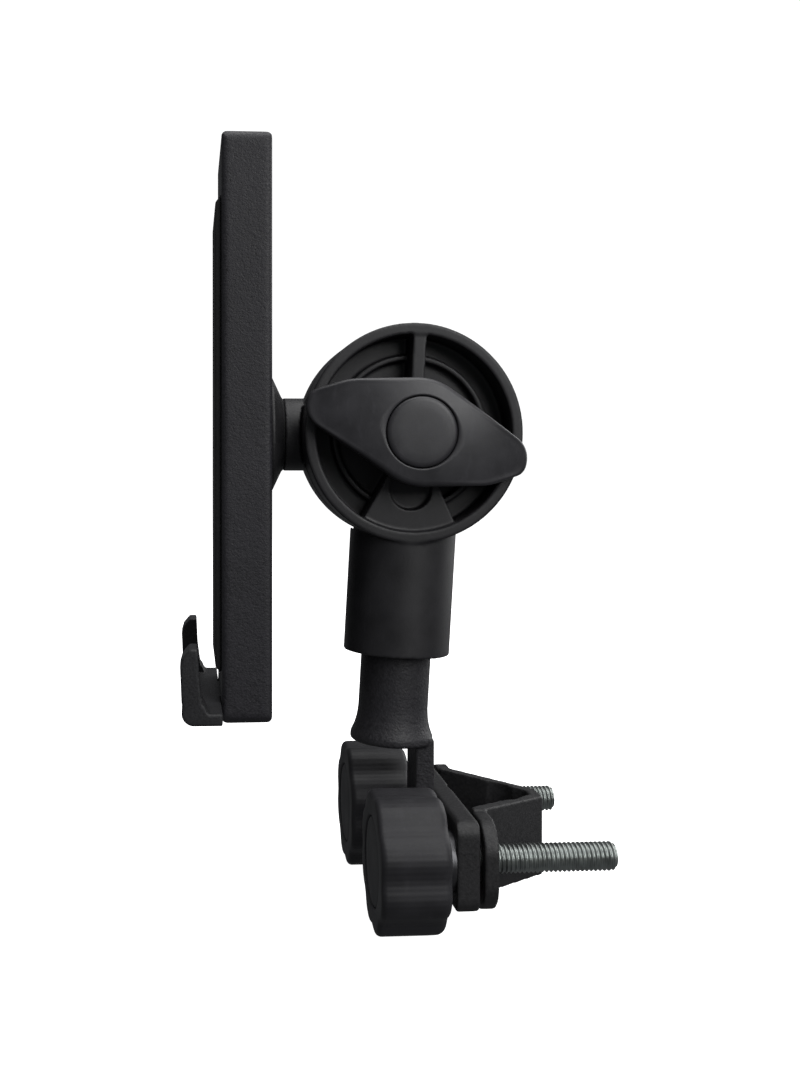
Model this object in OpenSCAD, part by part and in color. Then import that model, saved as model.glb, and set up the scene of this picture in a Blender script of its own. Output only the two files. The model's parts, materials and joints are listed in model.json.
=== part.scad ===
// Clamp-on phone mount: two-knob bar clamp, leaning post, tilting hub and hooked back plate.
// Millimetres. Origin on the axis of the clamped bar at the height of the clamp bolts.
// +X points away from the phone, +Y to the right seen from the phone side, +Z up.

/* [Clamp] */
// Radius of the bar that the jaws hold
bar_r = 11.1; // [10:0.1:12.5]
// Distance from the middle to each clamp bolt
bolt_y = 28.5; // [26:0.5:31]
// Height of the jaws
jaw_h = 25; // [22:0.5:28]
// Length of the back jaw across the bar
jaw_w = 74; // [70:1:80]
// Thickness of the back jaw
back_t = 6.3; // [5:0.1:8]
// Thickness of the ears of the front jaw
ear_t = 4; // [3.5:0.1:5]
// Gap between the ears of the two jaws
ear_gap = 2; // [1.5:0.1:3]
// Half angle of the front jaw's vee
vee_a = 40; // [38:1:43]
// Wall of the vee
vee_t = 3.6; // [3:0.1:4.5]

/* [Clamp knobs] */
// Outer radius of the lobed knobs
knob_r = 19.3; // [17:0.1:20]
// Length of the gripped barrel
knob_l = 18.9; // [16:0.1:22]
// Number of lobes
knob_lobes = 8; // [6:1:10]
// Where the clamp bolts end beyond the bar's axis
stud_tip = 29.5; // [26:0.5:34]

/* [Post] */
// Radius of the round post
post_r = 10.3; // [9.5:0.1:11]
// Lean of the post from the vertical, in degrees
post_lean = 3.2; // [0:0.1:4]
// Distance from the tilt axis to the post's axis
post_shift = 1; // [0:0.1:1.5]
// Radius of the foot's flare
foot_r = 12.2; // [11.5:0.1:13]

/* [Tilt hub] */
// Distance of the tilt axis behind the bar's axis
hub_x = -24.2; // [-26:0.1:-23]
// Height of the tilt axis above the clamp bolts
hub_z = 117.4; // [112:0.1:125]
// Radius of the two hub discs
hub_r = 31.3; // [30:0.1:33]
// Wall of the rims
rim_t = 3.2; // [2.5:0.1:4]
// Depth of the socket's disc
near_depth = 13; // [11:0.1:14]
// Depth of the neck's disc
far_depth = 13; // [12.5:0.1:15]
// Outer radius of the sleeve round the post
sleeve_r = 15.6; // [14.5:0.1:15.7]
// Length of the sleeve below the tilt axis
sleeve_l = 64.4; // [58:0.2:70]

/* [Wing knob] */
// Half length of the leaf
wing_a = 32.5; // [29:0.1:34]
// Half width of the leaf
wing_b = 15.2; // [13:0.1:16]
// Turn of the leaf from its flats being level, in degrees
wing_turn = 0; // [0:0.5:90]
// Turn of the two ribs beside the block over the sleeve, in degrees
rib_turn = 15.5; // [0:0.5:40]
// Radius of the cap in the middle
cap_r = 9.8; // [8:0.1:11]

/* [Back plate] */
// Height of the plate
plate_h = 166.2; // [150:0.2:180]
// Width of the plate
plate_w = 46; // [42:0.5:60]
// Depth of the plate's walls
plate_t = 14.3; // [13:0.1:18]
// Height of the plate's lower end
plate_z = 35.6; // [32:0.1:40]
// Thickness of the rubber pad
pad_t = 1.7; // [1:0.1:2.5]

/* [Hooks] */
// Distance over both hooks
hook_span = 74; // [66:1:80]
// Width of one hook
hook_w = 11; // [8:0.5:14]
// Height of the hooks' tips above the bracket's underside
hook_h = 20.7; // [16:0.1:24]
// Thickness of the bracket's floor
hook_t = 3.2; // [2.5:0.1:4]

/* [Hidden] */
$fn = 96;
// Radial gap of a turning or screwed fit
gap = 0.05;
bolt_r = 4;
jaw_face = bar_r - 0.8;
back_x = -jaw_face - back_t;
ear_x = -jaw_face + ear_gap - 0.8;
vee_x = (bar_r - 0.9) / sin(vee_a);
vee_end = 13;
vee_nose = 16.5;
ear_drop = 1;
washer_t = 1.6;
knob_end = back_x - washer_t;
collar_l = 1.4;
knob_face = knob_end - collar_l - knob_l;
tongue_t = 5.6;
tongue_w = 14;
tongue_low = -10.5;
tongue_top = 28;
disc_y = -2.3;
disc_t = 1;
near_y = disc_y - disc_t / 2;
far_y = disc_y + disc_t / 2;
web_t = 2.6;
boss_r = 9.5;
hex_r = 7.5;
head_y = far_y + far_depth - 5.9;
neck_y = far_y + 6.5;
neck_r = 10.8;
neck_x = -60.2;
spigot_r = 5;
spigot_end = -38;
plate_back = -64.8;
plate_front = plate_back - plate_t;
wall = 2.5;
rib_h = 3;
pad_low = 50;
pad_top = plate_z + plate_h - 17.6;
hook_z = plate_z + 2.8;
hook_x = -90.6;
hook_in = -85.4;
wing_y = near_y - near_depth - 0.8;
wing_face = -28.2;
insert_r = 6.2;
post_top = 34.5;
foot_z = 91;
groove_z = 42;

// Round bar along +X from a start point
module bar_x(start, length, radius)
{
  translate([start[0], start[1], start[2]])
    rotate([0, 90, 0])
      cylinder(h = length, r = radius);
}

// Round bar along +Y on an axis parallel to the tilt axis
module bar_y(x, z, y0, y1, radius)
{
  translate([x, y1, z])
    rotate([90, 0, 0])
      cylinder(h = y1 - y0, r = radius);
}

// Moves children into the frame of the leaning post, tilt axis at the origin
module leaning()
{
  translate([hub_x, 0, hub_z])
    rotate([0, post_lean, 0])
      children();
}

// Square with rounded corners, centred
module soft_square(a, b, r)
{
  square([a, b - 2 * r], center = true);
  square([a - 2 * r, b], center = true);
  for (i = [-1, 1], j = [-1, 1])
    translate([i * (a / 2 - r), j * (b / 2 - r)])
      circle(r = r);
}

// Countersunk screw along +Z, head at the origin
module sunk_screw(r, head_r, length)
{
  cylinder(h = head_r - r, r1 = head_r, r2 = r);
  cylinder(h = length, r = r);
}

// Room for a countersunk screw
module sunk_hole(r, head_r, length)
{
  translate([0, 0, -1])
    cylinder(h = 1.001, r = head_r + gap);
  cylinder(h = head_r - r, r1 = head_r + gap, r2 = r + gap);
  cylinder(h = length, r = r + gap);
}

// Plate's outer block with its rounded edges
module plate_block()
{
  mid_x = (plate_front + plate_back) / 2;
  mid_z = plate_z + plate_h / 2;
  intersection()
  {
    translate([mid_x, neck_y, plate_z])
      linear_extrude(plate_h)
        soft_square(plate_t, plate_w, 1.6);
    translate([mid_x, neck_y + plate_w / 2, mid_z])
      rotate([90, 0, 0])
        linear_extrude(plate_w)
          soft_square(plate_t, plate_h, 1.8);
    translate([plate_front, neck_y, mid_z])
      rotate([90, 0, 90])
        linear_extrude(plate_t)
          soft_square(plate_w, plate_h, 3);
  }
}

module flange_places()
{
  for (a = [45 : 90 : 315])
    translate([plate_front, neck_y + 13 * cos(a), hub_z + 13 * sin(a)])
      rotate([0, 90, 0])
        children();
}

module hook_places()
{
  for (s = [-1, 1])
    translate([-72.5, neck_y + s * 7, plate_z])
      children();
}

// Cast tray, open at the back, with a solid seat for the swivel
module back_plate()
{
  floor_x = plate_front + wall;
  mid_z = plate_z + plate_h / 2;
  color([0.075, 0.077, 0.083])
    difference()
    {
      plate_block();
      difference()
      {
        translate([floor_x, neck_y - plate_w / 2 + wall, plate_z + wall])
          cube([plate_t, plate_w - 2 * wall, plate_h - 2 * wall]);
        bar_x([plate_front, neck_y, hub_z], plate_t, 18.4);
        for (z = [-54, -27, 27, 54])
          translate([plate_front, neck_y - plate_w / 2, hub_z + z - 1])
            cube([wall + rib_h, plate_w, 2]);
        translate([plate_front, neck_y - 1, plate_z + 12])
          cube([wall + rib_h, 2, plate_h - 14]);
      }
      translate([plate_front - 1, neck_y - 12.1, hook_z - gap])
        cube([5, 24.2, hook_t + 2 * gap]);
      flange_places()
        sunk_hole(2, 3.9, plate_t + 1);
      hook_places()
        sunk_hole(2, 3.6, 4);
    }
}

module front_pad()
{
  color([0.055, 0.056, 0.06])
    translate([0, neck_y + 20.5, 0])
      rotate([90, 0, 0])
        linear_extrude(41)
          polygon([[plate_front, pad_low], [plate_front - pad_t, pad_low + 1.2],
            [plate_front - pad_t, pad_top - 2.4], [plate_front, pad_top]]);
}

// One hook with the corner of the floor, drawn in the XZ plane
module hook_profile()
{
  tip = hook_z + hook_h;
  bend = 3.4;
  polygon([[hook_x + bend, hook_z], [plate_front - 0.02, hook_z],
    [plate_front - 0.02, hook_z + hook_t], [hook_in + 2.6, hook_z + hook_t],
    [hook_in + 0.9, hook_z + hook_t + 2], [hook_in, hook_z + 12], [hook_in - 0.4, tip],
    [hook_x + 2.6, tip], [hook_x + 0.7, tip - 2.2], [hook_x, tip - 4.6],
    [hook_x + 0.4, hook_z + bend + 2.5]]);
  translate([hook_x + bend + 0.4, hook_z + bend])
    circle(r = bend);
}

module hook_bracket()
{
  color([0.07, 0.07, 0.075])
    difference()
    {
      union()
      {
        for (s = [-1, 1])
          translate([0, neck_y + s * (hook_span - hook_w) / 2 + hook_w / 2, 0])
            rotate([90, 0, 0])
              linear_extrude(hook_w)
                hook_profile();
        translate([hook_in, neck_y - hook_span / 2, hook_z])
          cube([plate_front - 0.02 - hook_in, hook_span, hook_t]);
        translate([plate_front - 1, neck_y - 12, hook_z])
          cube([12, 24, hook_t]);
      }
      hook_places()
        cylinder(h = 12, r = 2 + gap);
    }
}

module hook_screws()
{
  color([0.3, 0.31, 0.31])
    hook_places()
      sunk_screw(2, 3.6, 8);
}

// Flange and spigot that carry the plate, turned about the neck's axis
module swivel_flange()
{
  z0 = plate_back;
  cone = neck_x - z0 - 0.4;
  color([0.06, 0.06, 0.065])
    translate([z0, neck_y, hub_z])
      rotate([0, 90, 0])
        difference()
        {
          rotate_extrude()
            polygon([[0, 0.02], [17, 0.02], [17, 1.2], [neck_r - 0.1, cone], [neck_r - 0.1, cone + 0.35],
              [spigot_r, cone + 0.35], [spigot_r, 14.6], [3.8, 14.6], [3.8, 19], [spigot_r, 19],
              [spigot_r, spigot_end - z0 - 0.5], [0, spigot_end - z0 - 0.5]]);
          for (a = [45 : 90 : 315])
            rotate([0, 0, a])
              translate([13, 0, -1])
                cylinder(h = 2.8, r = 2 + gap);
        }
}

module flange_screws()
{
  color([0.3, 0.31, 0.31])
    flange_places()
      sunk_screw(2, 3.9, plate_t + 1.6);
}

// Neck with the far disc of the tilt hub
module neck_hub()
{
  floor_y = far_y + web_t;
  back_y = far_y + far_depth;
  color([0.055, 0.055, 0.06])
    difference()
    {
      union()
      {
        difference()
        {
          bar_y(hub_x, hub_z, far_y, back_y, hub_r);
          bar_y(hub_x, hub_z, floor_y, back_y + 1, hub_r - rim_t);
        }
        bar_y(hub_x, hub_z, far_y, back_y - 0.6, boss_r + 1);
        intersection()
        {
          bar_y(hub_x, hub_z, far_y, back_y - 0.4, hub_r - 1);
          union()
          {
            for (a = [-90, -30, 30, 90])
              translate([hub_x, 0, hub_z])
                rotate([0, -a, 0])
                  translate([0, far_y, -1.5])
                    cube([hub_r, far_depth, 3]);
            translate([hub_x - hub_r, far_y, hub_z - 8])
              cube([hub_r, far_depth, 16]);
          }
        }
        intersection()
        {
          bar_x([neck_x, neck_y, hub_z], 22, neck_r);
          translate([neck_x - 1, -20, hub_z - 20])
            cube([18, 40, 40]);
        }
      }
      bar_y(hub_x, hub_z, -20, far_y, hub_r + 0.5);
      bar_x([neck_x - 1, neck_y, hub_z], spigot_end - neck_x + 1, spigot_r + gap);
      bar_y(hub_x, hub_z, far_y - 1, back_y + 1, bolt_r + gap);
      translate([hub_x, neck_y + neck_r + 1, hub_z])
        rotate([90, 0, 0])
          cylinder(h = neck_y + neck_r + 1 - head_y, r = hex_r + 0.1, $fn = 6);
      bar_y(plate_back + 16.8, hub_z, neck_y, back_y + 8, 2 + gap);
    }
}

module neck_set_screw()
{
  color([0.3, 0.31, 0.31])
    difference()
    {
      bar_y(plate_back + 16.8, hub_z, neck_y + 3.9, neck_y + 10, 2);
      translate([plate_back + 16.8, neck_y + 10.1, hub_z])
        rotate([90, 0, 0])
          cylinder(h = 1.6, r = 1.15, $fn = 6);
    }
}

// Hexagon bolt that draws the two discs together
module tilt_bolt()
{
  color([0.62, 0.64, 0.62])
  {
    bar_y(hub_x, hub_z, wing_y - 8.5, head_y, bolt_r);
    translate([hub_x, head_y + 5.1, hub_z])
      rotate([90, 0, 0])
        cylinder(h = 5.1, r = hex_r, $fn = 6);
  }
}

module friction_disc()
{
  color([0.2, 0.19, 0.17])
    difference()
    {
      bar_y(hub_x, hub_z, near_y + 0.02, far_y - 0.02, hub_r - 2.4);
      bar_y(hub_x, hub_z, near_y - 1, far_y + 1, bolt_r + 0.4);
    }
}

// Near disc of the tilt hub: rim, boss, ribs and the block over the sleeve
module near_disc()
{
  face = near_y - near_depth;
  difference()
  {
    bar_y(0, 0, face, near_y, hub_r);
    bar_y(0, 0, face - 1, near_y - web_t, hub_r - rim_t);
  }
  bar_y(0, 0, face + 0.4, near_y, boss_r);
  difference()
  {
    bar_y(0, 0, near_y - web_t - 3, near_y, 22.8);
    bar_y(0, 0, near_y - web_t - 4, near_y + 1, 21.2);
  }
  intersection()
  {
    bar_y(0, 0, face + 0.2, near_y, hub_r - 1);
    for (a = [90, -rib_turn, 180 - rib_turn])
      rotate([0, -a, 0])
        translate([0, face, -1.9])
          cube([hub_r, near_depth, 3.8]);
  }
  difference()
  {
    intersection()
    {
      bar_y(0, 0, face + 1, near_y, hub_r - 1);
      translate([0, near_y, 0])
        rotate([90, 0, 0])
          linear_extrude(near_depth)
            polygon([[0, 0], [-hub_r * tan(28), -hub_r], [hub_r * tan(28), -hub_r]]);
    }
    bar_y(0, -16, face - 1, face + 4, 6);
    translate([-6, face - 1, -16])
      cube([12, 5, 12]);
  }
}

// Sleeve on the post with the near disc of the tilt hub
module socket_hub()
{
  color([0.06, 0.06, 0.065])
    leaning()
      difference()
      {
        union()
        {
          near_disc();
          difference()
          {
            translate([post_shift, 0, -sleeve_l])
              cylinder(h = sleeve_l - 20, r = sleeve_r);
            bar_y(0, 0, -20, near_y + 0.01, hub_r - 2);
          }
        }
        bar_y(0, 0, near_y, 20, hub_r + 0.6);
        bar_y(0, 0, -20, near_y - near_depth + 0.4, boss_r);
        bar_y(0, 0, -20, 20, bolt_r + gap);
        translate([post_shift, 0, -sleeve_l - 1])
          cylinder(h = sleeve_l + 1 - post_top, r = post_r + gap);
        translate([post_shift, 0, -sleeve_l - 0.01])
          cylinder(h = 0.8, r1 = post_r + 0.8, r2 = post_r);
        translate([post_shift, 0, -groove_z])
          rotate([-90, 0, 0])
            cylinder(h = 20, r = 2.5 + gap);
      }
}

module sleeve_set_screw()
{
  color([0.3, 0.31, 0.31])
    leaning()
      translate([post_shift, 0, -groove_z])
        rotate([-90, 0, 0])
          difference()
          {
            translate([0, 0, 9.1])
              cylinder(h = 6.1, r = 2.5);
            translate([0, 0, 13.6])
              cylinder(h = 2, r = 1.4, $fn = 6);
          }
}

module tilt_washer()
{
  color([0.55, 0.57, 0.55])
    difference()
    {
      bar_y(hub_x, hub_z, wing_y, wing_y + 1.16, 8);
      bar_y(hub_x, hub_z, wing_y - 1, wing_y + 2, bolt_r + 0.2);
    }
}

// Points of an arc of radius r that rounds the corner at b between a and c
function arc_corner(a, b, c, r) =
  let (u = (a - b) / norm(a - b), v = (c - b) / norm(c - b), half = acos(u * v) / 2,
    m = b + (u + v) / norm(u + v) * r / sin(half),
    p = b + u * r / tan(half) - m, q = b + v * r / tan(half) - m,
    start = atan2(p[1], p[0]), turn = (atan2(q[1], q[0]) - start + 540) % 360 - 180)
  [for (i = [0 : 8]) m + r * [cos(start + turn * i / 8), sin(start + turn * i / 8)]];

// Leaf outline of the wing knob, the same after half a turn
module leaf()
{
  corners = [[-0.94 * wing_a, 0.76 * wing_b, 4], [-0.61 * wing_a, 0.98 * wing_b, 18],
    [0.12 * wing_a, wing_b, 16], [wing_a, -0.3 * wing_b, 6.8]];
  count = 2 * len(corners);
  loop = concat(corners, [for (c = corners) [-c[0], -c[1], c[2]]]);
  rotate([0, 0, wing_turn])
    polygon([for (i = [0 : count - 1])
      let (a = loop[(i + count - 1) % count], b = loop[i], c = loop[(i + 1) % count])
      each arc_corner([a[0], a[1]], [b[0], b[1]], [c[0], c[1]], b[2])]);
}

module wing_knob()
{
  crown = 72;
  color([0.07, 0.07, 0.075])
    translate([hub_x, 0, hub_z])
      difference()
      {
        union()
        {
          intersection()
          {
            translate([0, wing_y - 1.6, 0])
              rotate([90, 0, 0])
                linear_extrude(14)
                  leaf();
            translate([0, wing_face + crown, 0])
              sphere(r = crown, $fn = 180);
          }
          bar_y(0, 0, wing_y - 4, wing_y, 11);
        }
        bar_y(0, 0, wing_face - 1, wing_face + 2.4, cap_r + 0.2);
        bar_y(0, 0, wing_face, wing_y + 1, insert_r + gap);
      }
}

module wing_insert()
{
  color([0.72, 0.56, 0.24])
    difference()
    {
      bar_y(hub_x, hub_z, wing_y - 8.2, wing_y, insert_r);
      bar_y(hub_x, hub_z, wing_y - 9, wing_y + 1, bolt_r + gap);
    }
}

module wing_cap()
{
  depth = wing_y - 8.9 - wing_face;
  color([0.065, 0.065, 0.07])
    translate([hub_x, wing_face, hub_z])
      rotate([-90, 0, 0])
        rotate_extrude()
          polygon([[0, 0.1], [cap_r - 1.2, 0.25], [cap_r - 0.3, 0.5], [cap_r, 0.8], [cap_r, 2.38],
            [insert_r, 2.38], [insert_r, depth], [0, depth]]);
}

// Round post with a flared foot and a tongue that is screwed to the back jaw
module post()
{
  color([0.085, 0.085, 0.09])
  {
    leaning()
      translate([post_shift, 0, 0])
        rotate_extrude()
          polygon([[0, -post_top - 0.3], [post_r - 0.8, -post_top - 0.3], [post_r, -post_top - 1.1],
            [post_r, -groove_z + 2.8], [post_r - 1.6, -groove_z + 2.8],
            [post_r - 1.6, -groove_z - 2.8], [post_r, -groove_z - 2.8],
            [post_r, -foot_z + 10], [post_r + 0.3, -foot_z + 7], [post_r + 0.9, -foot_z + 4.6],
            [foot_r, -foot_z + 2.2], [foot_r, -foot_z + 0.6], [foot_r - 0.6, -foot_z],
            [0, -foot_z]]);
    difference()
    {
      translate([back_x - tongue_t, -tongue_w / 2, tongue_low])
        cube([tongue_t, tongue_w, tongue_top - tongue_low]);
      for (z = [-6, 6])
        translate([back_x - tongue_t, 0, z])
          rotate([0, 90, 0])
            sunk_hole(2.5, 4.6, tongue_t + 1);
    }
  }
}

module foot_screws()
{
  color([0.3, 0.31, 0.31])
    for (z = [-6, 6])
      translate([back_x - tongue_t, 0, z])
        rotate([0, 90, 0])
          sunk_screw(2.5, 4.6, tongue_t + 4);
}

// Flat jaw behind the bar, with a shallow seat for it
module back_jaw()
{
  color([0.07, 0.07, 0.072])
    difference()
    {
      intersection()
      {
        translate([back_x, 0, 0])
          rotate([90, 0, 90])
            linear_extrude(back_t)
              soft_square(jaw_w, jaw_h, 4);
        translate([0, jaw_w / 2, 0])
          rotate([90, 0, 0])
            linear_extrude(jaw_w)
              polygon([[back_x, -jaw_h / 2 + 0.8], [back_x + 0.8, -jaw_h / 2],
                [-jaw_face - 0.8, -jaw_h / 2], [-jaw_face, -jaw_h / 2 + 0.8],
                [-jaw_face, jaw_h / 2 - 0.8], [-jaw_face - 0.8, jaw_h / 2],
                [back_x + 0.8, jaw_h / 2], [back_x, jaw_h / 2 - 0.8]]);
      }
      translate([0, 0, -jaw_h])
        cylinder(h = 2 * jaw_h, r = bar_r);
      for (s = [-1, 1])
        bar_x([back_x - 1, s * bolt_y, 0], back_t + 2, bolt_r + gap);
      for (z = [-6, 6])
        bar_x([back_x - 1, 0, z], 5.2, 2.5 + gap);
    }
}

// Front jaw seen from above: ears, arms and blunt nose
module vee_plan()
{
  k = 1 / tan(vee_a);
  outer = vee_x + vee_t / sin(vee_a);
  x1 = ear_x + ear_t;
  polygon([[ear_x, -jaw_w / 2], [x1, -jaw_w / 2], [x1, -(outer - x1) / k],
    [vee_nose, -(outer - vee_nose) / k], [vee_nose, (outer - vee_nose) / k],
    [x1, (outer - x1) / k], [x1, jaw_w / 2], [ear_x, jaw_w / 2], [ear_x, (vee_x - ear_x) / k],
    [vee_end, (vee_x - vee_end) / k], [vee_end, -(vee_x - vee_end) / k],
    [ear_x, -(vee_x - ear_x) / k]]);
}

module front_jaw()
{
  root = (vee_x - ear_x) * tan(vee_a);
  color([0.07, 0.07, 0.072])
    difference()
    {
      intersection()
      {
        translate([0, 0, -jaw_h])
          linear_extrude(2 * jaw_h)
            vee_plan();
        union()
        {
          translate([ear_x, 0, 0])
            rotate([90, 0, 90])
              linear_extrude(ear_t)
                difference()
                {
                  translate([0, -ear_drop])
                    soft_square(jaw_w, jaw_h, 9);
                  square([2 * root - 2, 2 * jaw_h], center = true);
                }
          translate([0, root + 2, 0])
            rotate([90, 0, 0])
              linear_extrude(2 * root + 4)
                polygon([[ear_x, 12.2], [vee_nose, 9.9], [vee_nose, -13.4], [ear_x, -11.5]]);
        }
      }
      translate([0, 0, -jaw_h])
        cylinder(h = 2 * jaw_h, r = bar_r);
      for (s = [-1, 1])
        bar_x([ear_x - 1, s * bolt_y, 0], ear_t + 2, insert_r + gap);
    }
}

module jaw_inserts()
{
  color([0.3, 0.31, 0.31])
    for (s = [-1, 1])
      difference()
      {
        bar_x([ear_x, s * bolt_y, 0], ear_t, insert_r);
        bar_x([ear_x - 1, s * bolt_y, 0], ear_t + 2, bolt_r + gap);
      }
}

// Lobed knob on the axis of a clamp bolt
module knob(y)
{
  lobe = 4.6;
  color([0.07, 0.07, 0.075])
    translate([knob_face, y, 0])
      rotate([0, 90, 0])
        difference()
        {
          intersection()
          {
            union()
            {
              cylinder(h = knob_l, r = knob_r - 1.5);
              for (i = [0 : knob_lobes - 1])
                rotate([0, 0, 22.5 + i * 360 / knob_lobes])
                  translate([knob_r - lobe, 0, 0])
                    cylinder(h = knob_l, r = lobe);
            }
            rotate_extrude()
              polygon([[0, 0], [knob_r - 1.6, 0], [knob_r - 0.5, 0.5], [knob_r, 1.6],
                [knob_r, knob_l - 2.6], [knob_r - 0.8, knob_l - 0.9], [knob_r - 2.6, knob_l],
                [0, knob_l]]);
          }
          translate([0, 0, -1])
            cylinder(h = 3, r = 12.2);
          translate([0, 0, 3])
            cylinder(h = knob_l, r = bolt_r + gap);
        }
  color([0.07, 0.07, 0.075])
    difference()
    {
      bar_x([knob_end - collar_l - 0.01, y, 0], collar_l + 0.01, 9.5);
      bar_x([knob_end - 3, y, 0], 5, bolt_r + gap);
    }
}

module knob_cap(y)
{
  color([0.06, 0.06, 0.065])
    translate([knob_face, y, 0])
      rotate([0, 90, 0])
        rotate_extrude()
          polygon([[0, 0.2], [11, 0.2], [12.1, 0.9], [12.1, 1.98], [0, 1.98]]);
}

module stud(y)
{
  color([0.66, 0.68, 0.66])
    translate([knob_face + 3.2, y, 0])
      rotate([0, 90, 0])
        rotate_extrude()
          polygon([[0, 0], [bolt_r, 0], [bolt_r, stud_tip - knob_face - 4.2],
            [bolt_r - 0.9, stud_tip - knob_face - 3.2], [0, stud_tip - knob_face - 3.2]]);
}

module knob_washer(y)
{
  color([0.2, 0.2, 0.21])
    difference()
    {
      bar_x([knob_end + 0.01, y, 0], washer_t - 0.02, 8.5);
      bar_x([knob_end - 1, y, 0], washer_t + 2, bolt_r + 0.2);
    }
}

module near_knob() knob(-bolt_y);
module near_knob_cap() knob_cap(-bolt_y);
module near_stud() stud(-bolt_y);
module near_washer() knob_washer(-bolt_y);
module far_knob() knob(bolt_y);
module far_knob_cap() knob_cap(bolt_y);
module far_stud() stud(bolt_y);
module far_washer() knob_washer(bolt_y);

back_plate();
front_pad();
hook_bracket();
hook_screws();
swivel_flange();
flange_screws();
neck_hub();
neck_set_screw();
tilt_bolt();
friction_disc();
socket_hub();
sleeve_set_screw();
tilt_washer();
wing_knob();
wing_insert();
wing_cap();
post();
foot_screws();
back_jaw();
front_jaw();
jaw_inserts();
near_knob();
near_knob_cap();
near_stud();
near_washer();
far_knob();
far_knob_cap();
far_stud();
far_washer();
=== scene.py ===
"""Looks of the clamp-on phone mount: mouldings, castings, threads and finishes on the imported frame."""

import json
import math

import bmesh
import bpy
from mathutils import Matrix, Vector


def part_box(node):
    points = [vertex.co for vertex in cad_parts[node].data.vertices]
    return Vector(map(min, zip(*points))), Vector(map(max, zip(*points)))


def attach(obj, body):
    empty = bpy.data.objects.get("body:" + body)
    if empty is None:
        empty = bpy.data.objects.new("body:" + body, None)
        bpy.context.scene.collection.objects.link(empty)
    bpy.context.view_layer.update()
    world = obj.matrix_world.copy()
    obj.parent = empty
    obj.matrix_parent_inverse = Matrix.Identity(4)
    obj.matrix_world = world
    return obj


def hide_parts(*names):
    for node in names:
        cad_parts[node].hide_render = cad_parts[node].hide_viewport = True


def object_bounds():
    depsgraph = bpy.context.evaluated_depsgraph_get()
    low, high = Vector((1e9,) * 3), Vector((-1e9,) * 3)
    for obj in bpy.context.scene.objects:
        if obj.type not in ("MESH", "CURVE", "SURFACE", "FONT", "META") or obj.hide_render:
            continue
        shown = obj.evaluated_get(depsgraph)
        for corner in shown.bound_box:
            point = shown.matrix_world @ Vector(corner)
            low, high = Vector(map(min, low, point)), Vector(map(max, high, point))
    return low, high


MM = 0.001
TAU = 2 * math.pi

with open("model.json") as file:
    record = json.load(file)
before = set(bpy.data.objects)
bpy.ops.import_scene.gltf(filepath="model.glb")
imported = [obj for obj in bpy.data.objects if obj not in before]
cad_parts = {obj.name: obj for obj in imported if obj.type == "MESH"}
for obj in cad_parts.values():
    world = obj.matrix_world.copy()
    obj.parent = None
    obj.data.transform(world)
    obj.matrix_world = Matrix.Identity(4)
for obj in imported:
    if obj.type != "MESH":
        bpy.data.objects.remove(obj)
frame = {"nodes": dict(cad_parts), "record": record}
cad_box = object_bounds()
bodies = frame["record"]["behaviour"]["bodies"]
slots = {part["node"]: part["material_slot"] for part in frame["record"]["subparts"]}


# ---------------------------------------------------------------- camera and studio

CAMERA_PLACE = Vector((-87.6, -347.2, 108.4)) * MM
CAMERA_YAW = math.radians(3.93)
CAMERA_PITCH = math.radians(0.73)
CAMERA_LENS = 39.87
CAMERA_SHIFT = (0.12, -0.05)
FILL_LIGHT = 0.13
BACKDROP_LIGHT = 1.1
FLOOR_HALF = 6.0
FLOOR_GAP = 0.5 * MM


def direction(yaw, pitch):
    """Unit vector that looks along +Y, turned right by yaw and down by pitch."""
    return Vector((math.sin(yaw) * math.cos(pitch), math.cos(yaw) * math.cos(pitch), -math.sin(pitch)))


def make_camera():
    data = bpy.data.cameras.new("camera")
    data.lens = CAMERA_LENS
    data.shift_x, data.shift_y = CAMERA_SHIFT
    data.clip_start = 0.01
    data.clip_end = 30
    camera = bpy.data.objects.new("camera", data)
    camera.location = CAMERA_PLACE
    camera.rotation_euler = direction(CAMERA_YAW, CAMERA_PITCH).to_track_quat("-Z", "Y").to_euler()
    bpy.context.scene.collection.objects.link(camera)
    bpy.context.scene.camera = camera


def softbox(name, place, target, size, power):
    """Square area light at place, facing target, with power in watts."""
    data = bpy.data.lights.new(name, "AREA")
    data.shape = "SQUARE"
    data.size = size
    data.energy = power
    light = bpy.data.objects.new(name, data)
    light.location = place
    light.rotation_euler = (Vector(target) - Vector(place)).to_track_quat("-Z", "Y").to_euler()
    bpy.context.scene.collection.objects.link(light)


def make_world():
    """White studio: bright behind the object, and dimmer as a source of light."""
    world = bpy.data.worlds.new("studio")
    bpy.context.scene.world = world
    world.use_nodes = True
    tree = world.node_tree
    tree.nodes.clear()
    out = tree.nodes.new("ShaderNodeOutputWorld")
    mix = tree.nodes.new("ShaderNodeMixShader")
    rays = tree.nodes.new("ShaderNodeLightPath")
    fill = tree.nodes.new("ShaderNodeBackground")
    fill.inputs["Color"].default_value = (0.95, 0.97, 1.0, 1)
    fill.inputs["Strength"].default_value = FILL_LIGHT
    white = tree.nodes.new("ShaderNodeBackground")
    white.inputs["Color"].default_value = (1, 1, 1, 1)
    white.inputs["Strength"].default_value = BACKDROP_LIGHT
    tree.links.new(rays.outputs["Is Camera Ray"], mix.inputs["Fac"])
    tree.links.new(fill.outputs["Background"], mix.inputs[1])
    tree.links.new(white.outputs["Background"], mix.inputs[2])
    tree.links.new(mix.outputs["Shader"], out.inputs["Surface"])


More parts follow.
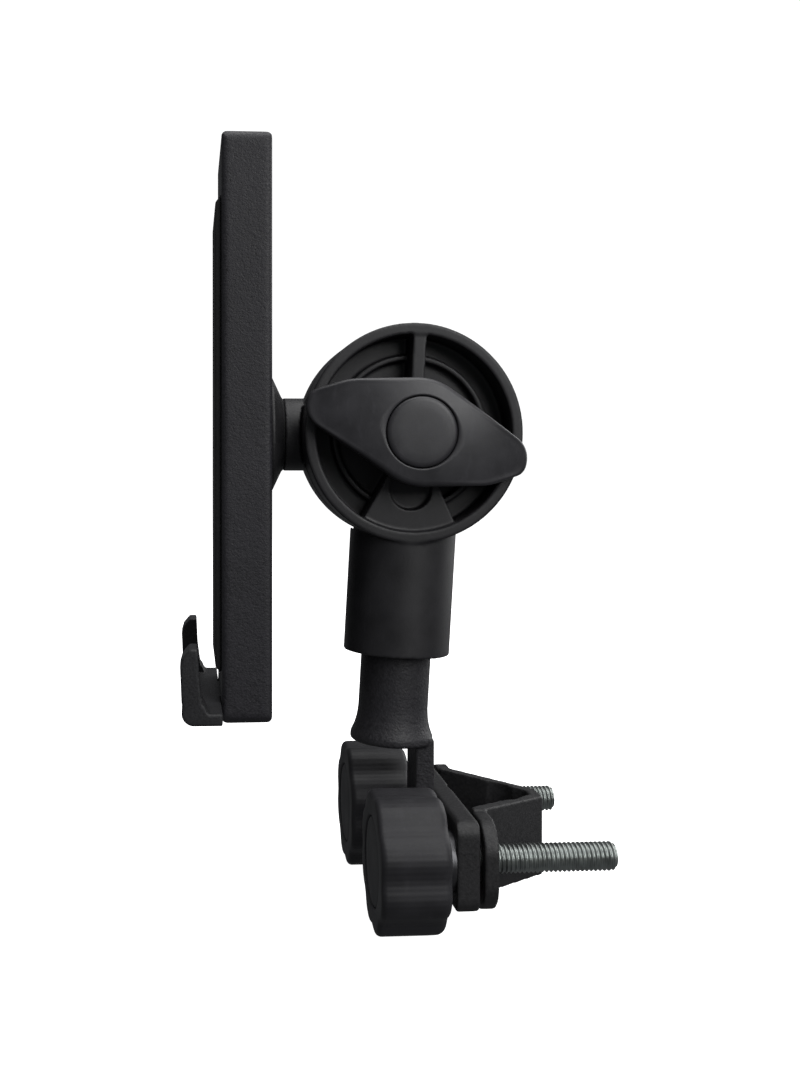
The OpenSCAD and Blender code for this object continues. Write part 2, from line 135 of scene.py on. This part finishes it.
def make_studio():
    """Three soft lights and a plain pale floor that the object itself doesn't see."""
    low, high = cad_box
    centre = (low + high) / 2
    softbox("key", centre + Vector((0.55, -1.05, 0.55)), centre, 0.8, 11.5)
    softbox("top", centre + Vector((0.1, -0.1, 1.3)), centre, 1.4, 20)
    softbox("rim", centre + Vector((0.9, 0.5, 0.3)), centre, 0.8, 5)
    half = FLOOR_HALF
    mesh = bpy.data.meshes.new("floor")
    level = low.z - FLOOR_GAP
    corners = [(-half, -half, level), (half, -half, level), (half, half, level), (-half, half, level)]
    mesh.from_pydata(corners, [], [(0, 1, 2, 3)])
    floor = bpy.data.objects.new("floor", mesh)
    bpy.context.scene.collection.objects.link(floor)
    material = bpy.data.materials.new("floor_white")
    material.use_nodes = True
    shader = material.node_tree.nodes["Principled BSDF"]
    shader.inputs["Base Color"].default_value = (0.9, 0.9, 0.9, 1)
    shader.inputs["Emission Color"].default_value = (1, 1, 1, 1)
    shader.inputs["Emission Strength"].default_value = 1.0
    shader.inputs["Roughness"].default_value = 0.9
    shader.inputs["Specular IOR Level"].default_value = 0.1
    mesh.materials.append(material)
    floor.visible_diffuse = False
    floor.visible_glossy = False
    bpy.context.scene.view_settings.view_transform = "Standard"


# ---------------------------------------------------------------- materials

class Finish:
    """A material under construction, with short calls for the nodes it needs."""

    def __init__(self, name, roughness, metallic=0.0, specular=0.5):
        self.material = bpy.data.materials.new(name)
        self.material.use_nodes = True
        self.tree = self.material.node_tree
        self.shader = self.tree.nodes["Principled BSDF"]
        self.shader.inputs["Roughness"].default_value = roughness
        self.shader.inputs["Metallic"].default_value = metallic
        self.shader.inputs["Specular IOR Level"].default_value = specular
        self.coord = self.tree.nodes.new("ShaderNodeTexCoord").outputs["Object"]
        self.height = None

    def link(self, a, b):
        self.tree.links.new(a, b)

    def stretched(self, factors):
        """Object coordinates scaled by factors along X, Y and Z."""
        node = self.tree.nodes.new("ShaderNodeMapping")
        node.inputs["Scale"].default_value = factors
        self.link(self.coord, node.inputs["Vector"])
        return node.outputs["Vector"]

    def noise(self, size, detail=3.0, roughness=0.55, coord=None):
        """Noise whose cells are about size millimetres across."""
        node = self.tree.nodes.new("ShaderNodeTexNoise")
        node.inputs["Scale"].default_value = 1 / (size * MM)
        node.inputs["Detail"].default_value = detail
        node.inputs["Roughness"].default_value = roughness
        self.link(coord or self.coord, node.inputs["Vector"])
        return node.outputs["Fac"]

    def cells(self, size):
        """Distance to the nearest of cells about size millimetres across."""
        node = self.tree.nodes.new("ShaderNodeTexVoronoi")
        node.inputs["Scale"].default_value = 1 / (size * MM)
        self.link(self.coord, node.inputs["Vector"])
        return node.outputs["Distance"]

    def ranged(self, value, low, high, to_low, to_high):
        """Value moved from the range low to high into the range to_low to to_high, and held inside it."""
        node = self.tree.nodes.new("ShaderNodeMapRange")
        node.inputs["From Min"].default_value = low
        node.inputs["From Max"].default_value = high
        node.inputs["To Min"].default_value = to_low
        node.inputs["To Max"].default_value = to_high
        self.link(value, node.inputs["Value"])
        return node.outputs["Result"]

    def math(self, operation, a, b):
        """Result of a Math node on a and b, each a number or a socket."""
        node = self.tree.nodes.new("ShaderNodeMath")
        node.operation = operation
        for socket, value in zip(node.inputs, (a, b)):
            if isinstance(value, (int, float)):
                socket.default_value = value
            else:
                self.link(value, socket)
        return node.outputs["Value"]

    def mixed(self, factor, a, b):
        """Colour between a and b, each a colour or a socket."""
        node = self.tree.nodes.new("ShaderNodeMix")
        node.data_type = "RGBA"
        self.link(factor, node.inputs["Factor"])
        for socket, value in ((node.inputs[6], a), (node.inputs[7], b)):
            if isinstance(value, tuple):
                socket.default_value = (*value, 1)
            else:
                self.link(value, socket)
        return node.outputs[2]

    def near(self, point, radius):
        """1 at point, falling to 0 at radius metres from it."""
        node = self.tree.nodes.new("ShaderNodeVectorMath")
        node.operation = "DISTANCE"
        self.link(self.coord, node.inputs[0])
        node.inputs[1].default_value = point
        return self.ranged(node.outputs["Value"], 0, radius, 1, 0)

    def colour(self, socket):
        self.link(socket, self.shader.inputs["Base Color"])

    def rough(self, value, low, high):
        """Roughness that runs from low to high over the middle of value's range."""
        self.link(self.ranged(value, 0.3, 0.7, low, high), self.shader.inputs["Roughness"])

    def bump(self, value, depth):
        """Adds relief of depth millimetres, on top of any relief already there."""
        node = self.tree.nodes.new("ShaderNodeBump")
        node.inputs["Distance"].default_value = depth * MM
        self.link(value, node.inputs["Height"])
        if self.height:
            self.link(self.height, node.inputs["Normal"])
        self.height = node.outputs["Normal"]
        self.link(self.height, self.shader.inputs["Normal"])


def shade(colour, factor):
    """Colour made darker or lighter by factor."""
    return tuple(channel * factor for channel in colour)


def powder_coat(name, colour, grain, depth, chips=()):
    """Grainy powder coat on metal, with bare metal where chips says."""
    f = Finish(name, 0.55, specular=0.35)
    lumps = f.noise(grain, 4, 0.65)
    cloud = f.noise(14, 2)
    speck = f.cells(grain * 0.7)
    base = f.mixed(f.ranged(lumps, 0.35, 0.65, 0, 1), shade(colour, 0.62), shade(colour, 1.35))
    base = f.mixed(f.ranged(cloud, 0.35, 0.65, 0, 0.35), base, shade(colour, 1.5))
    f.rough(lumps, 0.42, 0.66)
    f.bump(f.noise(grain * 3, 2), depth * 0.7)
    f.bump(lumps, depth)
    f.bump(speck, depth * 0.4)
    worn = None
    for point, radius in chips:
        spot = f.near(point, radius)
        worn = spot if worn is None else f.math("MAXIMUM", worn, spot)
    if worn is not None:
        ragged = f.math("ADD", worn, f.noise(1.6, 5, 0.7))
        mask = f.ranged(ragged, 1.2, 1.26, 0, 1)
        base = f.mixed(mask, base, (0.42, 0.43, 0.43))
        f.link(mask, f.shader.inputs["Metallic"])
    f.colour(base)
    return f.material


def moulded(name, colour, roughness, grain=0.5, depth=0.012, specular=0.4, marks=0.25):
    """Moulded plastic: fine grain, faint flow clouds and light handling marks."""
    f = Finish(name, roughness, specular=specular)
    fine = f.noise(grain, 3)
    cloud = f.noise(9, 3)
    rub = f.noise(2.4, 4, 0.6, f.stretched((1, 1, 0.35)))
    base = f.mixed(f.ranged(cloud, 0.35, 0.65, 0, 1), shade(colour, 0.8), shade(colour, 1.2))
    base = f.mixed(f.ranged(rub, 0.56, 0.75, 0, marks), base, shade(colour, 2.1))
    f.colour(base)
    mix = f.math("ADD", f.math("MULTIPLY", fine, 0.4), f.math("MULTIPLY", cloud, 0.6))
    f.rough(mix, roughness - 0.09, roughness + 0.1)
    f.bump(cloud, depth * 4)
    f.bump(fine, depth)
    return f.material


def rubber(name, colour):
    """Soft matte rubber with a fine pebbled skin and some dust."""
    f = Finish(name, 0.8, specular=0.25)
    pebble = f.cells(0.7)
    dust = f.noise(5, 5, 0.65)
    f.colour(f.mixed(f.ranged(dust, 0.5, 0.75, 0, 0.5), shade(colour, 0.85), shade(colour, 2.0)))
    f.rough(dust, 0.72, 0.9)
    f.bump(dust, 0.05)
    f.bump(pebble, 0.06)
    return f.material


def plated(name, colour, roughness, along):
    """Zinc, steel or brass: metal with turning marks drawn out across the axis along."""
    f = Finish(name, roughness, metallic=1.0)
    stretch = [0.2, 0.2, 0.2]
    stretch[along] = 1.0
    lines = f.noise(0.22, 3, 0.6, f.stretched(tuple(stretch)))
    cloud = f.noise(3.5, 4, 0.6)
    f.colour(f.mixed(f.ranged(cloud, 0.35, 0.65, 0, 1), shade(colour, 0.75), shade(colour, 1.12)))
    f.rough(cloud, roughness - 0.08, roughness + 0.1)
    f.bump(lines, 0.012)
    return f.material


def fibre(name, colour):
    """Pressed friction material with short fibres."""
    f = Finish(name, 0.85, specular=0.3)
    strands = f.noise(0.9, 5, 0.75)
    f.colour(f.mixed(f.ranged(strands, 0.35, 0.65, 0, 1), shade(colour, 0.6), shade(colour, 1.6)))
    f.rough(strands, 0.75, 0.95)
    f.bump(strands, 0.05)
    return f.material


def make_finishes():
    low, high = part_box("back_plate")
    ink = (0.0135, 0.0130, 0.0160)
    chips = [
        (Vector((high.x, low.y, high.z)), 3.6 * MM),
        (Vector((high.x - 5 * MM, low.y, high.z)), 1.7 * MM),
        (Vector((high.x, low.y, high.z - 6 * MM)), 1.6 * MM),
        (Vector((low.x + 4 * MM, low.y, low.z)), 1.8 * MM),
        (Vector((high.x - 2 * MM, low.y, low.z)), 1.6 * MM),
        (Vector((high.x, high.y, high.z)), 2.4 * MM),
    ]
    return {
        "plate_paint": powder_coat("plate_paint", ink, 0.75, 0.11, chips),
        "post_paint": powder_coat("post_paint", (0.016, 0.0155, 0.018), 1.0, 0.16),
        "hook_paint": powder_coat("hook_paint", (0.012, 0.012, 0.0135), 0.6, 0.06),
        "jaw_paint": powder_coat("jaw_paint", (0.013, 0.0128, 0.0138), 0.9, 0.07),
        "pad_rubber": rubber("pad_rubber", (0.009, 0.009, 0.0095)),
        "hub_plastic": moulded("hub_plastic", (0.0125, 0.0122, 0.0138), 0.5),
        "wing_plastic": moulded("wing_plastic", (0.019, 0.0186, 0.0215), 0.44, 0.4, 0.01, 0.5, 0.4),
        "knob_plastic": moulded("knob_plastic", (0.0145, 0.0142, 0.0165), 0.56, 0.4, 0.012, 0.35, 0.3),
        "black_plastic": moulded("black_plastic", (0.010, 0.0098, 0.0108), 0.55),
        "dark_steel": plated("dark_steel", (0.10, 0.10, 0.105), 0.38, 2),
        "zinc": plated("zinc", (0.36, 0.385, 0.372), 0.36, 0),
        "brass": plated("brass", (0.62, 0.46, 0.20), 0.32, 0),
        "friction_fibre": fibre("friction_fibre", (0.045, 0.04, 0.036)),
    }


finishes = make_finishes()


# ---------------------------------------------------------------- building pieces

def stand_for(piece, node):
    """Shows piece in place of a CAD node, on the node's body and in its material slot."""
    for polygon in piece.data.polygons:
        polygon.use_smooth = True
    piece.data.materials.clear()
    piece.data.materials.append(finishes[slots[node]])
    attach(piece, next(body for body, members in bodies.items() if node in members))
    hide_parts(node)
    return piece


def new_piece(name, mesh):
    piece = bpy.data.objects.new(name, mesh)
    bpy.context.scene.collection.objects.link(piece)
    return piece


def baked(piece):
    """Applies the modifiers of piece to its mesh."""
    graph = bpy.context.evaluated_depsgraph_get()
    mesh = bpy.data.meshes.new_from_object(piece.evaluated_get(graph))
    piece.modifiers.clear()
    piece.data = mesh
    return piece


def cast(node, voxel, passes, keep):
    """A casting or moulding with rounded edges, made from the CAD node's own solid.

    voxel is the remesh size in millimetres, passes the smoothing steps and keep the share of faces kept.
    """
    mesh = frame["nodes"][node].data.copy()
    shell = bmesh.new()
    shell.from_mesh(mesh)
    bmesh.ops.remove_doubles(shell, verts=shell.verts, dist=0.002 * MM)
    shell.to_mesh(mesh)
    shell.free()
    piece = new_piece(node + "_cast", mesh)
    remesh = piece.modifiers.new("remesh", "REMESH")
    remesh.mode = "VOXEL"
    remesh.voxel_size = voxel * MM
    smooth = piece.modifiers.new("smooth", "SMOOTH")
    smooth.factor = 0.5
    smooth.iterations = passes
    thin = piece.modifiers.new("thin", "DECIMATE")
    thin.ratio = keep
    return stand_for(baked(piece), node)


def turned(name, centre, axis, rings, steps, closed=False):
    """A solid made of rings round an axis, "X", "Y" or "Z", through centre.

    Each ring is a function of the angle that gives its place along the axis and its radius, in millimetres.
    A closed solid joins its last ring to its first; any other ends in a point at both ends.
    """
    frames = {"X": (Vector((0, 1, 0)), Vector((0, 0, 1)), Vector((1, 0, 0))),
              "Y": (Vector((0, 0, 1)), Vector((1, 0, 0)), Vector((0, 1, 0))),
              "Z": (Vector((1, 0, 0)), Vector((0, 1, 0)), Vector((0, 0, 1)))}
    u, v, w = frames[axis]
    points = []
    for ring in rings:
        for i in range(steps):
            angle = TAU * i / steps
            along, radius = ring(angle)
            points.append(centre + (w * along + (u * math.cos(angle) + v * math.sin(angle)) * radius) * MM)
    faces = []
    count = len(rings)
    for j in range(count if closed else count - 1):
        k = (j + 1) % count
        for i in range(steps):
            n = (i + 1) % steps
            faces.append((j * steps + i, j * steps + n, k * steps + n, k * steps + i))
    if not closed:
        for j, turn in ((0, -1), (count - 1, 1)):
            along = sum(rings[j](TAU * i / steps)[0] for i in range(steps)) / steps
            points.append(centre + w * along * MM)
            for i in range(steps):
                face = (j * steps + i, j * steps + (i + 1) % steps, len(points) - 1)
                faces.append(face[::turn])
    mesh = bpy.data.meshes.new(name)
    mesh.from_pydata(points, [], faces)
    shell = bmesh.new()
    shell.from_mesh(mesh)
    bmesh.ops.recalc_face_normals(shell, faces=shell.faces)
    shell.to_mesh(mesh)
    shell.free()
    return new_piece(name, mesh)


def circle(along, radius):
    """Round ring."""
    return lambda angle: (along, radius)


def lathe(points):
    """Rings for a round profile of (place along the axis, radius) pairs."""
    return [circle(along, radius) for along, radius in points]


def box_in_mm(node):
    """Middle of the node's box in metres, and its size in millimetres."""
    low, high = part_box(node)
    return (low + high) / 2, (high - low) / MM


# ---------------------------------------------------------------- clamp knobs and bolts

# All in millimetres, as are the sizes of every piece below
STUD_BORE = 4.05
COLLAR = 1.4
COLLAR_R = 9.5
GRIP_R = 19.3
FRONT_ROUND = 1.6
BACK_ROUND = 2.6
CAP_SEAT_R = 12.3
CAP_R = 12.1
LOBES = 8
RIBS = 80
VALLEY = 1.45
RIB_DEPTH = 0.035


def make_knob(side):
    """Lobed hand knob with fine ribs along its barrel, and its cap."""
    node = side + "_knob"
    middle, size = box_in_mm(node)
    length = size.x - COLLAR
    centre = Vector((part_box(node)[0].x, middle.y, middle.z))

    def grip(along, inset, ribs):
        def ring(angle):
            lobe = 1 - abs(math.cos(LOBES / 2 * angle)) ** 3
            rib = ribs * RIB_DEPTH * (0.5 - 0.5 * math.cos(RIBS * angle))
            return along, GRIP_R - inset - VALLEY * (1 - lobe) - rib
        return ring

    end = length + COLLAR
    rings = lathe([(3.0, STUD_BORE), (end - 0.25, STUD_BORE), (end, STUD_BORE + 0.45), (end, COLLAR_R - 0.5),
                   (end - 0.5, COLLAR_R), (length + 0.3, COLLAR_R), (length, COLLAR_R + 0.5)])
    steps = 7
    for i in range(steps + 1):
        turn = math.pi / 2 * i / steps
        back, inset = BACK_ROUND * (1 - math.cos(turn)), BACK_ROUND * (1 - math.sin(turn))
        rings.append(grip(length - back, inset + 0.05, i / steps))
    rings += [grip(length - 5, 0, 1), grip(length / 2, 0, 1), grip(5, 0, 1)]
    for i in range(steps + 1):
        turn = math.pi / 2 * i / steps
        along, inset = FRONT_ROUND * (1 - math.sin(turn)), FRONT_ROUND * (1 - math.cos(turn))
        rings.append(grip(along, inset, 1 - i / steps))
    rings += lathe([(0, 12.9), (0.12, 12.5), (0.5, CAP_SEAT_R), (2.0, CAP_SEAT_R)])
    stand_for(turned(node + "_grip", centre, "X", rings, RIBS * 6), node)
    cap = lathe([(1.98, CAP_R), (0.95, CAP_R), (0.55, 11.95), (0.33, 11.6), (0.25, 11.0),
                 (0.2, 7), (0.18, 2)])
    stand_for(turned(node + "_cap_disc", centre, "X", cap, 96), node + "_cap")


STUD_R = 3.98
PITCH = 1.25
THREAD_DEPTH = 0.5


def thread(along, radius):
    """Ring on a right-hand M8 thread whose crests are at radius."""
    def ring(angle):
        turn = (along / PITCH - angle / TAU) % 1
        flank = min(1, max(0, (abs(2 * turn - 1) - 0.12) / 0.72))
        return along, radius - THREAD_DEPTH * flank
    return ring


def make_stud(side):
    """Zinc-plated threaded rod with a chamfered tip."""
    node = side + "_stud"
    middle, size = box_in_mm(node)
    centre = Vector((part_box(node)[0].x, middle.y, middle.z))
    length = size.x
    grip_end = 14.0
    rings = lathe([(0, 3.6), (0.4, STUD_R), (grip_end, STUD_R)])
    step = PITCH / 10
    count = int((length - grip_end) / step)
    for i in range(1, count):
        along = grip_end + i * step
        fade = min(1, max(0, (length - along) / 1.1))
        rings.append(thread(along, STUD_R - 0.75 * (1 - fade)))
    rings += lathe([(length - 0.05, 3.0), (length, 2.6)])
    stand_for(turned(node + "_rod", centre, "X", rings, 40), node)


# ---------------------------------------------------------------- wing knob

CROWN = 72.0
INSERT_BORE = 6.25
WING_HUB_R = 11


def outline_reach(node, centre):
    """Function of an angle from +X towards +Z: how far the node's outline reaches from centre, in mm."""
    flat = {(round((v.co.x - centre.x) / MM, 3), round((v.co.z - centre.z) / MM, 3))
            for v in frame["nodes"][node].data.vertices}
    hull = []
    for points in (sorted(flat), sorted(flat, reverse=True)):
        chain = []
        for point in points:
            while len(chain) > 1 and turn_of(chain[-2], chain[-1], point) <= 0:
                chain.pop()
            chain.append(point)
        hull += chain[:-1]
    edges = []
    for a, b in zip(hull, hull[1:] + hull[:1]):
        normal = (b[1] - a[1], a[0] - b[0])
        edges.append((normal, normal[0] * a[0] + normal[1] * a[1]))

    def reach(angle):
        ray = (math.cos(angle), math.sin(angle))
        facing = ((n[0] * ray[0] + n[1] * ray[1], offset) for n, offset in edges)
        return min(offset / f for f, offset in facing if f > 1e-9)
    return reach


def turn_of(a, b, c):
    """Positive where the way from a by b to c turns left."""
    return (b[0] - a[0]) * (c[1] - a[1]) - (b[1] - a[1]) * (c[0] - a[0])


def make_wing():
    """Leaf-shaped wing with a crowned face, a soft edge and a seat for its cap."""
    middle, size = box_in_mm("wing_cap")
    low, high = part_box("wing_knob")
    centre = Vector((middle.x, low.y, middle.z))
    depth = (high.y - low.y) / MM
    outline_at = outline_reach("wing_knob", centre)
    seat = 10.05
    back = depth - 1.6
    edge = 1.7

    def face(share):
        def ring(angle):
            reach = outline_at(math.pi / 2 - angle) - edge
            radius = seat + 0.25 + (reach - seat - 0.25) * share
            return crown(radius), radius
        return ring

    def crown(radius):
        return CROWN - math.sqrt(CROWN ** 2 - radius ** 2)

    def rounded(share):
        def ring(angle):
            outline = outline_at(math.pi / 2 - angle)
            turn = math.pi / 2 * share
            return crown(outline - edge) + edge * (1 - math.cos(turn)), outline - edge * (1 - math.sin(turn))
        return ring

    def wall(share, inset):
        def ring(angle):
            outline = outline_at(math.pi / 2 - angle)
            top = crown(outline - edge) + edge
            return top + (back - top) * share, outline - inset
        return ring

    rings = lathe([(2.4, INSERT_BORE), (2.4, seat), (0.95, seat)])
    rings += [face(i / 10) for i in range(11)]
    rings += [rounded(i / 5) for i in range(1, 6)]
    rings += [wall(0.5, 0.05), wall(0.85, 0.12), wall(0.97, 0.3), wall(1, 0.7)]
    rings += [lambda angle: (back, (outline_at(math.pi / 2 - angle) - 0.7) * 0.5 + 5.6)]
    rings += lathe([(back, WING_HUB_R + 0.3), (back + 0.3, WING_HUB_R), (depth - 0.3, WING_HUB_R),
                    (depth, WING_HUB_R - 0.3), (depth, INSERT_BORE)])
    stand_for(turned("wing_knob_leaf", centre, "Y", rings, 360, closed=True), "wing_knob")
    cap = lathe([(0.16, 3), (0.2, 6), (0.28, 8.4), (0.4, 9.1), (0.6, 9.55), (0.95, 9.8), (2.38, 9.8),
                 (2.38, 6.2), (size.y, 6.2)])
    stand_for(turned("wing_cap_disc", centre, "Y", cap, 128), "wing_cap")


# ---------------------------------------------------------------- screws and bolt

def hexagon(along, flats):
    """Ring with six flats, flats being half the width across them."""
    return lambda angle: (along, flats / math.cos((angle + math.pi / 6) % (math.pi / 3) - math.pi / 6))


def make_tilt_bolt():
    """Hexagon bolt with a chamfered head, sunk in the neck's disc."""
    low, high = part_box("tilt_bolt")
    middle = box_in_mm("friction_disc")[0]
    centre = Vector((middle.x, low.y, middle.z))
    length = (high.y - low.y) / MM
    head = 5.1
    corner = 7.5
    flats = corner * math.cos(math.pi / 6)

    def bevelled(along, reach):
        def ring(angle):
            return along, min(hexagon(along, flats)(angle)[1], reach)
        return ring

    rings = lathe([(0, 3.0), (0.7, STUD_R), (length - head, STUD_R), (length - head, 6.2)])
    rings += [bevelled(length - head, 7.1), bevelled(length - head + 0.25, corner)]
    rings += [bevelled(length - 0.9, corner), bevelled(length - 0.45, 7.0), bevelled(length, 6.2)]
    rings += lathe([(length, 5.2)])
    stand_for(turned("tilt_bolt_hex", centre, "Y", rings, 180), "tilt_bolt")


def make_sunk_screws(node, axis, radius, head):
    """Countersunk socket screws, one for each solid of the node."""
    source = frame["nodes"][node]
    shell = bmesh.new()
    shell.from_mesh(source.data)
    bmesh.ops.remove_doubles(shell, verts=shell.verts, dist=0.002 * MM)
    islands = []
    seen = set()
    for vertex in shell.verts:
        if vertex in seen:
            continue
        stack, island = [vertex], []
        seen.add(vertex)
        while stack:
            here = stack.pop()
            island.append(here.co.copy())
            for edge in here.link_edges:
                other = edge.other_vert(here)
                if other not in seen:
                    seen.add(other)
                    stack.append(other)
        islands.append(island)
    shell.free()
    along = "XYZ".index(axis)
    for i, island in enumerate(islands):
        low = Vector([min(p[k] for p in island) for k in range(3)])
        high = Vector([max(p[k] for p in island) for k in range(3)])
        centre = (low + high) / 2
        centre[along] = low[along]
        length = (high[along] - low[along]) / MM
        drive = radius * 0.62
        socket = 1.5
        rings = [circle(socket, drive * 0.3), hexagon(socket, drive)]
        rings += [hexagon(0.12, drive), hexagon(0.02, drive * 1.06)]
        rings += lathe([(0.02, head - 0.25), (0.2, head), (head - radius, radius), (length - 0.4, radius),
                        (length, radius - 0.4)])
        stand_for(turned(f"{node}_{i + 1}", centre, axis, rings, 72), node)


# ---------------------------------------------------------------- the whole object

# Remesh size in millimetres, smoothing steps and share of faces kept
CASTINGS = {
    "back_plate": (0.5, 5, 0.35),
    "hook_bracket": (0.32, 4, 0.4),
    "front_pad": (0.34, 4, 0.3),
    "socket_hub": (0.36, 5, 0.35),
    "neck_hub": (0.36, 5, 0.35),
    "post": (0.36, 5, 0.35),
    "back_jaw": (0.36, 7, 0.35),
    "front_jaw": (0.34, 7, 0.4),
    "swivel_flange": (0.3, 4, 0.4),
}

make_camera()
make_world()
make_studio()

for side in ("near", "far"):
    make_knob(side)
    make_stud(side)
make_wing()
make_tilt_bolt()
make_sunk_screws("hook_screws", "Z", 2.0, 3.6)
make_sunk_screws("foot_screws", "X", 2.5, 4.6)

for node, (voxel, passes, keep) in CASTINGS.items():
    cast(node, voxel, passes, keep)

for name, node in frame["nodes"].items():
    node.data.materials.clear()
    node.data.materials.append(finishes[slots[name]])
